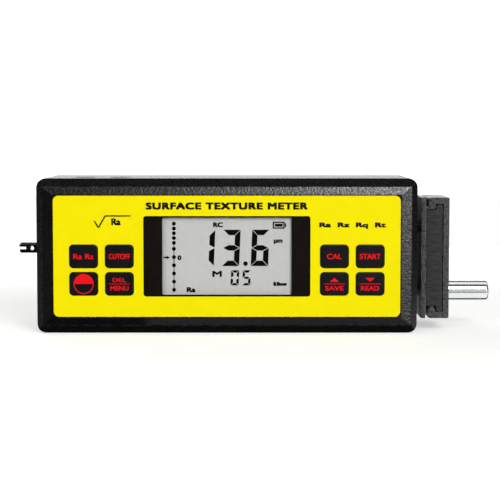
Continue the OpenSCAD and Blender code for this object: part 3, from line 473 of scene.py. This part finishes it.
def new_tree(name, sizes):
    """A node tree that makes geometry, with one named input for each size."""
    tree = bpy.data.node_groups.new(name, "GeometryNodeTree")
    for size, kind in sizes.items():
        tree.interface.new_socket(size, in_out="INPUT", socket_type=kind)
    tree.interface.new_socket("Geometry", in_out="OUTPUT", socket_type="NodeSocketGeometry")
    return tree, add(tree, "NodeGroupInput").outputs


FLOAT, COUNT, PLACE = "NodeSocketFloat", "NodeSocketInt", "NodeSocketVector"
dots, size = new_tree("dot_scale", {
    "Dot radius": FLOAT, "Dot height": FLOAT,
    "Upper start": PLACE, "Upper step": PLACE, "Upper count": COUNT,
    "Lower start": PLACE, "Lower step": PLACE, "Lower count": COUNT})
both = add(dots, "GeometryNodeJoinGeometry")
for run in ("Lower", "Upper"):
    line = add(dots, "GeometryNodeMeshLine",
               {"Count": size[run + " count"], "Start Location": size[run + " start"],
                "Offset": size[run + " step"]})
    dots.links.new(line.outputs["Mesh"], both.inputs[0])
disc = add(dots, "GeometryNodeMeshCylinder",
           {"Vertices": 20, "Radius": size["Dot radius"], "Depth": size["Dot height"]})
upright = add(dots, "GeometryNodeTransform",
              {"Geometry": disc.outputs["Mesh"], "Rotation": (math.pi / 2, 0, 0)})
placed = add(dots, "GeometryNodeInstanceOnPoints",
             {"Points": both.outputs[0], "Instance": upright.outputs[0]})
solid = add(dots, "GeometryNodeRealizeInstances", {0: placed.outputs[0]})
inked = add(dots, "GeometryNodeSetMaterial", {"Geometry": solid.outputs[0], "Material": crystal})
add(dots, "NodeGroupOutput", {0: inked.outputs[0]})
modelled("display_dots", dots, {
    "Dot radius": 0.74 * mm, "Dot height": 2 * print_t,
    "Upper start": (scale_x, y_lcd, z_mid + 11.85 * mm), "Upper step": (0, 0, -1.76 * mm),
    "Upper count": 5,
    "Lower start": (scale_x, y_lcd, z_mid + 2.6 * mm), "Lower step": (0, 0, -3.03 * mm),
    "Lower count": 6}, crystal, "case")


# Rim of the display: the bare edge of the cell beyond its polariser, in the frame's milky white. It
# is seen as a fine pale line just inside the mask.
rim, view_w, view_h = 0.45 * mm, 47.4 * mm, 28.4 * mm
printed("display_rim", [
    upright_box(0, z_mid + side * (view_h - rim) / 2, view_w, rim) for side in (-1, 1)] + [
    upright_box(side * (view_w - rim) / 2, z_mid, rim, view_h - 2 * rim) for side in (-1, 1)],
    milky, "case")


# Keys: moulded caps of black polycarbonate that stand just proud of the film. Each legend is red
# ink on its cap, so it travels with the key.
# Satin polycarbonate: soft black; its rounded edges are grey, part rubbed, part painted highlight.
key_plastic = grained("black_polycarbonate_satin", ("#0f0f11", "#141416"), size=0.25 * mm,
                      depth=0.004 * mm, rough=(0.25, 0.36), bare_and_highlight="#202024",
                      shading={"IOR": 1.58, "Specular IOR Level": 0.16})

# Red legend ink: strong, opaque, nearly pure red with a faint sheen.
ink_red = grained("red_legend_ink", ("#ee101c", "#f4121e"), size=0.3 * mm, depth=0.004 * mm,
                  rough=(0.4, 0.55), shading={"Specular IOR Level": 0.08})

y_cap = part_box("key_parameter")[0].y
rule_w, rule_h, cap_round, face_near = 7.8 * mm, 0.22 * mm, 0.22 * mm, 0.05 * mm


def stacked(upper, lower, x, z):
    """Two legends with a rule between them."""
    return [upper, flat(box_outline(x, z, rule_w, rule_h), y_cap),
            lettering(lower, x, y_cap, z - 1.6 * mm, height=1.65 * mm, width=6.6 * mm,
                      weight=0.05 * mm)]


def legend(node, x, z):
    """The shapes printed on one key."""
    if node == "key_power":
        radius, line = 3.7 * mm, 0.32 * mm
        lower = arc(x, z, radius, 180, 360, steps=32) + arc(x, z, radius - line, 360, 180, steps=32)
        return [flat(arc(x, z, radius, 0, 180, steps=32), y_cap), flat(lower, y_cap)]
    if node == "key_menu":
        return stacked(lettering("DEL", x, y_cap, z + 1.45 * mm, height=1.45 * mm, width=4.9 * mm,
                                 weight=0.05 * mm), "MENU", x, z)
    arrow = {"key_up": ("SAVE", 0.75, 2.25), "key_down": ("READ", 2.25, 0.75)}
    if node in arrow:
        word, foot, tip = arrow[node]
        half_w, foot_z, tip_z = 1.75 * mm, z + foot * mm, z + tip * mm
        corners = [(x - half_w, foot_z), (x + half_w, foot_z), (x, tip_z)]
        return stacked(flat(corners, y_cap), word, x, z)
    words, width = {"key_parameter": ("Ra Rz", 7.4), "key_cutoff": ("CUTOFF", 7.8),
                    "key_calibrate": ("CAL", 5.4), "key_start": ("START", 7.6)}[node]
    return [lettering(words, x, y_cap, z, height=1.9 * mm, width=width * mm, weight=0.06 * mm)]


for key in ("parameter", "cutoff", "power", "menu", "calibrate", "start", "up", "down"):
    node, body = "key_" + key, key + "_key"
    low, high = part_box(node)
    soften(key + "_cap", node, key_plastic, body, cap_round,
           lambda p, way: p.y < y_cap + face_near, steps=3)
    printed(key + "_legend", legend(node, (low.x + high.x) / 2, (low.z + high.z) / 2),
            ink_red, body)


# Sockets: two round sockets, moulded in nylon and soldered to the board, whose noses fill holes in
# the top wall. The charging socket has a plated pin in its middle. The switches, the chips and the
# drive's position sensors are moulded in the same black.
# Nylon: deep, matt black, so that each socket reads as a dark round in the shining wall.
socket_black = grained("black_nylon", ("#0e0e0f", "#131314"), size=0.4 * mm, depth=0.03 * mm,
                       rough=(0.75, 0.9), shading={"Specular IOR Level": 0.03})
dress(socket_black, "charge_socket", "data_socket", "key_switches", "position_sensors",
      "board_chips")

# Nickel plating: a small warm-white glint at the bottom of the socket.
nickel = grained("nickel_plated_brass", ("#c6c2b8", "#d2cfc6"), size=0.3 * mm, depth=0.002 * mm,
                 rough=(0.15, 0.25), shading={"Metallic": 1.0})
charge_low, charge_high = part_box("charge_socket")
pin_x, pin_r = (charge_low.x + charge_high.x) / 2, 1.03 * mm
pin_tip, pin_foot = charge_high.z - 1.45 * mm, charge_high.z - 9.9 * mm
pin_neck, blunt_r = pin_tip - 0.4 * mm, 0.6 * pin_r
pin = bmesh.new()
for top, foot, top_r in ((pin_neck, pin_foot, pin_r), (pin_tip, pin_neck, blunt_r)):
    bmesh.ops.create_cone(pin, cap_ends=True, segments=24, radius1=pin_r, radius2=top_r,
                          depth=top - foot,
                          matrix=Matrix.Translation((pin_x, y_part, (top + foot) / 2)))
pin_mesh = bpy.data.meshes.new("charge_pin")
pin.to_mesh(pin_mesh)
pin.free()
link_piece("charge_pin", pin_mesh, nickel, "case")


# Strap post: a turned post of steel, slotted and cross-drilled for a strap, screwed through the
# left wall and plated black. The locking screws of the slide have the same plating. The ground
# guide rods of the traverse are given this black too, as painted shade that keeps the gap between
# the case and the bracket dark.
# Black nickel: a dark mirror, nearly as bright as polish at a glancing angle.
# Its rounded edges are painted pale grey in patches: partly rubbed, partly a painted highlight.
black_steel_and_gap_shade = grained("black_nickel_and_gap_shade", ("#343437", "#424246"), size=0.5 * mm, depth=0.002 * mm,
                      rough=(0.12, 0.22), bare_and_highlight="#8a8c90", shading={"Metallic": 1.0})
outside_wall, post_round = -70.5 * mm, 0.08 * mm
soften("strap_post_plated", "strap_post", black_steel_and_gap_shade, "case", post_round,
       lambda p, way: p.x < outside_wall, sharp=25)
# On the guide rods this black is painted shade for the dark gap beside the case.
dress(black_steel_and_gap_shade, "slide_lock_screws", "guide_rod_upper", "guide_rod_lower")


# Pickup bracket: a plate and a T-rail on the guide rods, and a C-shaped slide that runs on the
# rail. All are sawn from extruded aluminium, bead-blasted and anodised dark grey.
# Blasted and anodised: a peppered grey, painted as tones from near black to grey that change as
# fast as the dents: painted shade and glint of dents that each face their own way. The sealed
# skin shines at a glancing angle, and a pale tone is painted on the rounded edges, partly bare
# metal where rubbed, partly a painted highlight. Beads leave dents of about 0.15 mm, drawn five
# times coarser so that the pepper shows.
def blasted(name, tones, bare_and_highlight, size, rough, drawn_out=1.0):
    """Anodised aluminium with marks of one size, and tones that change as fast as the marks."""
    return grained(name, tones, size, depth=0.06 * mm, rough=rough, bare_and_highlight=bare_and_highlight, patch=size,
                   detail=3.0, drawn_out=drawn_out,
                   shading={"Metallic": 0.3, "Specular IOR Level": 0.3, "Coat Weight": 0.35,
                            "Coat Roughness": 0.1})


bracket_grey = blasted("anodised_aluminium_bead_blasted", ("#0c0c0e", "#55555a"), "#7c7c82",
                       size=0.8 * mm, rough=(0.45, 0.65))

# Sawn and anodised: darker than the slide, with faint level lines that the saw left.
# Its rounded edges are painted a paler grey: partly rubbed, partly a painted highlight.
rail_black = blasted("anodised_aluminium_sawn", ("#0d0d0e", "#2c2c2e"), "#505054", size=0.6 * mm,
                     rough=(0.4, 0.6), drawn_out=7.0)
plate_round, rail_round, slide_round = 0.15 * mm, 0.1 * mm, 0.12 * mm


def everywhere(p, way):
    """Chooses every sharp edge."""
    return True


soften("plate_blasted", "carriage_plate", bracket_grey, "carriage", plate_round,
       everywhere, sharp=25)
soften("rail_satin", "slide_rail", rail_black, "carriage", rail_round, everywhere,
       sharp=25)
soften("slide_blasted", "height_slide", bracket_grey, "slide", slide_round,
       everywhere, sharp=25)


# Pickup: a ground and polished steel tube with a turned nose; a hardened skid, and a diamond
# stylus on a pivoted lever that looks out through it.
# Polished steel: it mirrors the studio in long bright and dark lines, a little softened.
polished = grained("polished_stainless_steel", ("#d5d7da", "#dddfe0"), size=0.6 * mm,
                   depth=0.0008 * mm, rough=(0.17, 0.23), shading={"Metallic": 1.0})
dress(polished, "pickup_tube", "pickup_nose", "pickup_skid", "stylus_pivot", "motor_shaft")

# Diamond: a grey, glassy speck at the end of the lever.
diamond = grained("grey_diamond", ("#646971", "#747980"), size=0.1 * mm, depth=0.001 * mm,
                  rough=(0.05, 0.12), shading={"IOR": 2.42, "Specular IOR Level": 0.8})
dress(diamond, "stylus_tip")


# Main board: glass-epoxy, drilled and routed to its outline, with the components soldered on. Four
# screws hold it to posts of the front shell.
# Solder mask: glossy green, a little clouded where it pooled.
solder_mask = grained("green_solder_mask", ("#195830", "#22673b"), size=1.5 * mm, depth=0.01 * mm,
                      rough=(0.3, 0.45))
dress(solder_mask, "main_board")


# Battery pack: two cells side by side, held together by one heat-shrunk sleeve. It stands between
# two ribs of the rear shell.
# Shrink sleeve: satin blue that wrinkles slightly over the cells.
sleeve_blue = grained("blue_shrink_sleeve", ("#204a97", "#2957a8"), size=2.0 * mm, depth=0.05 * mm,
                      rough=(0.25, 0.4))
dress(sleeve_blue, "battery_pack")


# Traverse drive: a geared motor turns a rolled screw through a coupling; its nut draws the yoke and
# two guide rods along in sintered bushes. All of it stands on a milled chassis.
# Milled aluminium: pale satin metal.
milled = grained("milled_aluminium", ("#adb0b4", "#babdc0"), size=0.7 * mm, depth=0.005 * mm,
                 rough=(0.3, 0.45), shading={"Metallic": 1.0})
dress(milled, "drive_chassis", "traverse_yoke", "drive_motor", "stylus_arm")

# Turned steel: darker and bluer than the chassis, with a clean shine.
turned = grained("turned_steel", ("#9c9fa3", "#acafb1"), size=0.5 * mm, depth=0.003 * mm,
                 rough=(0.25, 0.4), shading={"Metallic": 1.0})
dress(turned, "motor_gearbox", "screw_bearing_inner", "screw_bearing_outer")

# Sintered bronze: brown and open-pored, dull with oil.
bronze = grained("sintered_bronze", ("#9f733a", "#b38547"), size=0.4 * mm, depth=0.02 * mm,
                 rough=(0.4, 0.55), shading={"Metallic": 1.0})
dress(bronze, "bush_upper_inner", "bush_upper_outer", "bush_lower_inner", "bush_lower_outer")

# Turned brass: bright yellow metal.
brass = grained("turned_brass", ("#c29a44", "#d0a851"), size=0.6 * mm, depth=0.004 * mm,
                rough=(0.25, 0.35), shading={"Metallic": 1.0})
dress(brass, "shaft_coupling", "drive_nut")

# The screw's thread follows a helix, at the drive's lead of 2 mm, between two plain journals.
screw_low, screw_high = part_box("lead_screw")
thread, size = new_tree("rolled_screw", {
    "Journal radius": FLOAT, "Journal length": FLOAT, "Journal middle": PLACE,
    "Core radius": FLOAT, "Core length": FLOAT, "Core middle": PLACE,
    "Turns": FLOAT, "Thread length": FLOAT, "Thread depth": FLOAT, "Thread half width": FLOAT,
    "Thread start": PLACE})
parts = add(thread, "GeometryNodeJoinGeometry")
for run in ("Journal", "Core"):
    bar = add(thread, "GeometryNodeMeshCylinder",
              {"Vertices": 32, "Radius": size[run + " radius"], "Depth": size[run + " length"]})
    laid = add(thread, "GeometryNodeTransform", {
        "Geometry": bar.outputs["Mesh"], "Translation": size[run + " middle"],
        "Rotation": (0, math.pi / 2, 0)})
    thread.links.new(laid.outputs[0], parts.inputs[0])
helix = add(thread, "GeometryNodeCurveSpiral", {
    "Resolution": 32, "Rotations": size["Turns"], "Start Radius": size["Core radius"],
    "End Radius": size["Core radius"], "Height": size["Thread length"]})
outward = add(thread, "GeometryNodeSetCurveNormal", {"Curve": helix.outputs[0]}, mode="Z_UP")
both_flanks = add(thread, "ShaderNodeMath", {0: size["Thread depth"], 1: 2.0},
                  operation="MULTIPLY")
ridge = add(thread, "GeometryNodeCurvePrimitiveQuadrilateral", {
    "Width": both_flanks.outputs[0], "Bottom Height": size["Thread half width"],
    "Top Height": size["Thread half width"]}, mode="KITE")
swept = add(thread, "GeometryNodeCurveToMesh", {
    "Curve": outward.outputs[0], "Profile Curve": ridge.outputs[0], "Fill Caps": True})
laid = add(thread, "GeometryNodeTransform", {
    "Geometry": swept.outputs[0], "Translation": size["Thread start"],
    "Rotation": (0, math.pi / 2, 0)})
thread.links.new(laid.outputs[0], parts.inputs[0])
solid = add(thread, "GeometryNodeRealizeInstances", {0: parts.outputs[0]})
made_of = add(thread, "GeometryNodeSetMaterial",
              {"Geometry": solid.outputs[0], "Material": turned})
add(thread, "NodeGroupOutput", {0: made_of.outputs[0]})
screw_mid = (screw_low + screw_high) / 2
thread_from, thread_to, half_ridge, lead = 33.85 * mm, 59.45 * mm, 0.6 * mm, 2 * mm
threaded = thread_to - thread_from
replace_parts(modelled("lead_screw_threaded", thread, {
    "Journal radius": 2 * mm, "Journal length": screw_high.x - screw_low.x,
    "Journal middle": tuple(screw_mid),
    "Core radius": 2.29 * mm, "Core length": threaded + 2 * half_ridge,
    "Core middle": ((thread_from + thread_to) / 2, screw_mid.y, screw_mid.z),
    "Turns": threaded / lead, "Thread length": threaded,
    "Thread depth": 0.7 * mm, "Thread half width": half_ridge,
    "Thread start": (thread_from, screw_mid.y, screw_mid.z)},
    turned, "screw"), "lead_screw")


# Measuring coils: two flat coils of fine enamelled wire, wound in layers. They lie in the tube, on
# either side of the end of the lever.
# Enamelled copper: reddish brown and glossy, finely ribbed by its turns.
copper = grained("enamelled_copper", ("#9c4c25", "#b45c30"), size=0.3 * mm, depth=0.05 * mm,
                 rough=(0.3, 0.5), shading={"Metallic": 0.6})
dress(copper, "pickup_coils")


# Studio: a pale floor, with a white backdrop and ceiling that the top wall and the tube mirror.
# Only reflections see the cards just under the floor. The rest of the room is dark to them, so
# black surfaces stay black.
def stage_sheet(name, corners, shade, in_view=True, in_gloss=True):
    """A flat sheet of the studio, which isn't part of the object; it may stay out of view or out of
    reflections."""
    mesh = bpy.data.meshes.new(name)
    mesh.from_pydata(corners, [], [list(range(len(corners)))])
    mesh.materials.append(shade)
    sheet = bpy.data.objects.new(name, mesh)
    sheet.visible_camera, sheet.visible_glossy = in_view, in_gloss
    bpy.context.scene.collection.objects.link(sheet)


def paper(name, to_eye, to_gloss, white_from=None):
    """Pale paper with a light of its own for the eye, and one for reflections and clear pieces. It
    may grow white beyond a distance, so that no edge of it shows."""
    made, tree, shader = finish(name, {"Base Color": linear("#e8e8e6"), "Roughness": 0.9,
                                       "Specular IOR Level": 0.0})
    if white_from:
        place = add(tree, "ShaderNodeTexCoord").outputs["Object"]
        far = add(tree, "ShaderNodeVectorMath", {0: place}, operation="LENGTH")
        to_eye = add(tree, "ShaderNodeMapRange", {
            "Value": far.outputs["Value"], "From Min": white_from, "From Max": 2 * white_from,
            "To Min": to_eye, "To Max": 1.0}).outputs["Result"]
    path = add(tree, "ShaderNodeLightPath")
    mirrored = add(tree, "ShaderNodeMath",
                   {0: path.outputs["Is Glossy Ray"], 1: path.outputs["Is Transmission Ray"]},
                   operation="MAXIMUM")
    gloss = add(tree, "ShaderNodeMath", {0: mirrored.outputs[0], 1: to_gloss}, operation="MULTIPLY")
    level = add(tree, "ShaderNodeMath",
                {0: path.outputs["Is Camera Ray"], 1: to_eye, 2: gloss.outputs[0]},
                operation="MULTIPLY_ADD")
    glow = add(tree, "ShaderNodeEmission", {"Strength": level.outputs[0]})
    both = add(tree, "ShaderNodeAddShader", {0: shader.outputs[0], 1: glow.outputs[0]})
    tree.links.new(both.outputs[0], tree.nodes["Material Output"].inputs["Surface"])
    return made


floor_half, card_z = 0.4, -0.001
room_half, back_y, backdrop_top, ceiling_front, ceiling_z = 3, 1.2, 0.45, -0.3, 2
stage_sheet("floor", [(-floor_half, -floor_half, 0), (floor_half, -floor_half, 0),
                      (floor_half, floor_half, 0), (-floor_half, floor_half, 0)],
            paper("floor_paper", to_eye=0.5, to_gloss=0.0, white_from=0.18), in_gloss=False)
for name, left, right, front, back, level in (
        ("tube_card_near", 0.078, 0.2, -0.031, 0.002, 1.2),
        ("tube_card_far", 0.078, 0.2, -0.15, -0.054, 0.9),
        ("bezel_card", -0.03, 0.075, -0.06, -0.026, 0.7),
        ("left_card", -0.4, -0.085, -0.3, 0.03, 0.3),
        ("back_card", -0.4, 0.4, 0.03, 0.12, 0.5)):
    stage_sheet(name, [(left, front, card_z), (right, front, card_z), (right, back, card_z),
                       (left, back, card_z)],
                paper(name + "_paper", to_eye=0.0, to_gloss=level), in_view=False)
stage_sheet("backdrop", [(-room_half, back_y, 0), (room_half, back_y, 0),
                         (room_half, back_y, backdrop_top), (-room_half, back_y, backdrop_top)],
            paper("backdrop_paper", to_eye=0.95, to_gloss=1.25))
stage_sheet("ceiling", [(-room_half, ceiling_front, ceiling_z), (-room_half, back_y, ceiling_z),
                        (room_half, back_y, ceiling_z), (room_half, ceiling_front, ceiling_z)],
            paper("ceiling_paper", to_eye=0.85, to_gloss=1.0), in_view=False)
side_left, side_right, side_y, side_low, side_high = 0.195, 0.29, -1.1, -0.25, 0.45
stage_sheet("side_card", [(side_left, side_y, side_low), (side_right, side_y, side_low),
                          (side_right, side_y, side_high), (side_left, side_y, side_high)],
            paper("card_paper", to_eye=0.9, to_gloss=0.9), in_view=False)

# The room itself: white to the eye, dim to matt surfaces and nearly dark to reflections
room_gloss, room_matt = 0.06, 0.22
world = bpy.data.worlds.new("studio")
bpy.context.scene.world = world
world.use_nodes = True
world.node_tree.nodes.clear()
path = add(world.node_tree, "ShaderNodeLightPath")
room = add(world.node_tree, "ShaderNodeMapRange",
           {"Value": path.outputs["Is Diffuse Ray"], "To Min": room_gloss, "To Max": room_matt})
seen = add(world.node_tree, "ShaderNodeMath",
           {0: path.outputs["Is Camera Ray"], 1: room.outputs["Result"]}, operation="MAXIMUM")
sky = add(world.node_tree, "ShaderNodeBackground",
          {"Color": linear("#ffffff"), "Strength": seen.outputs[0]})
add(world.node_tree, "ShaderNodeOutputWorld", {"Surface": sky.outputs[0]})


def soft_lamp(name, place, aim, width, height, power, colours=True, gloss=True):
    """A rectangular soft lamp that faces a point; it may light only colours or only gloss."""
    data = bpy.data.lights.new(name, "AREA")
    data.shape, data.size, data.size_y, data.energy = "RECTANGLE", width, height, power
    lamp = bpy.data.objects.new(name, data)
    lamp.location = place
    lamp.rotation_euler = (Vector(aim) - Vector(place)).to_track_quat("-Z", "Y").to_euler()
    lamp.visible_diffuse, lamp.visible_glossy, lamp.visible_camera = colours, gloss, False
    bpy.context.scene.collection.objects.link(lamp)


# The key and the fill light the colours; two strips put a sheen on the right and top slopes of the
# bezel, and a lamp behind lights the back. Sizes in metres, power in watts.
middle = (0, 0, 0.03)
soft_lamp("key_lamp", (0.42, -1.15, 0.62), middle, width=0.5, height=0.6, power=10.9, gloss=False)
soft_lamp("fill_lamp", (-0.9, -1.2, 0.5), middle, width=0.9, height=0.9, power=5.9, gloss=False)
soft_lamp("right_strip", (0.84, -1.2, 0.12), middle, width=0.28, height=0.28, power=6,
          colours=False)
soft_lamp("top_strip", (0.27, -1.1, 0.76), middle, width=0.3, height=0.28, power=12.2,
          colours=False)
soft_lamp("back_lamp", (-0.7, 1.0, 0.8), middle, width=0.6, height=0.5, power=5)

# Camera: in front, a little to the right and above, as the photo was taken
tilt_down = 0.0761
camera = bpy.data.objects.new("camera", bpy.data.cameras.new("camera"))
camera.location = (8.47 * mm, -607.3 * mm, 75.4 * mm)
camera.rotation_euler = (math.pi / 2 - tilt_down, 0, 0)
camera.data.sensor_fit, camera.data.sensor_width = "HORIZONTAL", 36
camera.data.lens = 115.2
camera.data.clip_start = 0.01
bpy.context.scene.collection.objects.link(camera)
bpy.context.scene.camera = camera
bpy.context.scene.view_settings.view_transform = "Standard"
